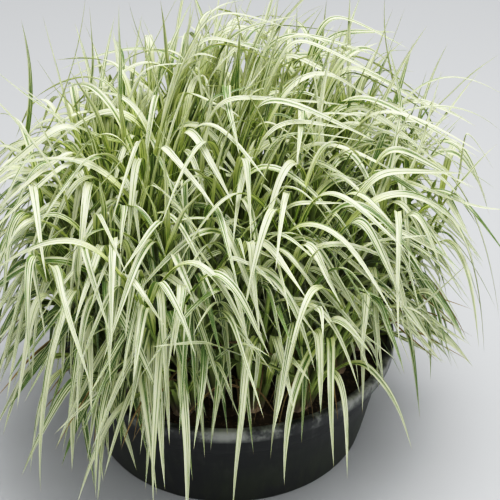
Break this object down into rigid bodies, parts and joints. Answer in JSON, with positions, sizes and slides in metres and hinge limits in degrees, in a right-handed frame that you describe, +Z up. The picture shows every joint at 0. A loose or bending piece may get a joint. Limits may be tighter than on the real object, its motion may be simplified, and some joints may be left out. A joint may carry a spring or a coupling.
{
  "type": "potted reed sweetgrass",
  "caption": "Dense clump of variegated ornamental grass with long arching cream and green striped leaves, growing in soil in a round dark plastic planting tub.",
  "frame": {"origin": "middle of the tub's flat underside, on the surface that the tub stands on", "axes": "+Z up; the side seen in the picture faces -Y, and +X is to its right"},
  "size_m": [0.7801, 0.776, 0.642],
  "materials": {
    "tub_plastic": "satin",
    "soil": "matte",
    "leaf": "satin"
  },
  "bodies": {
    "root": {"tub": "tub_plastic", "soil": "soil", "tuft_01": "leaf", "tuft_02": "leaf", "tuft_03": "leaf", "tuft_04": "leaf", "tuft_05": "leaf", "tuft_06": "leaf", "tuft_07": "leaf", "tuft_08": "leaf", "tuft_09": "leaf", "tuft_10": "leaf", "tuft_11": "leaf", "tuft_12": "leaf", "tuft_13": "leaf", "tuft_14": "leaf", "tuft_15": "leaf", "tuft_16": "leaf", "tuft_17": "leaf", "tuft_18": "leaf", "tuft_19": "leaf", "tuft_20": "leaf", "tuft_21": "leaf", "tuft_22": "leaf", "tuft_23": "leaf", "tuft_24": "leaf", "tuft_25": "leaf", "tuft_26": "leaf", "tuft_27": "leaf", "tuft_28": "leaf", "tuft_29": "leaf", "tuft_30": "leaf", "tuft_31": "leaf", "tuft_32": "leaf", "tuft_33": "leaf", "tuft_34": "leaf", "tuft_35": "leaf", "tuft_36": "leaf"}
  },
  "joints": []
}
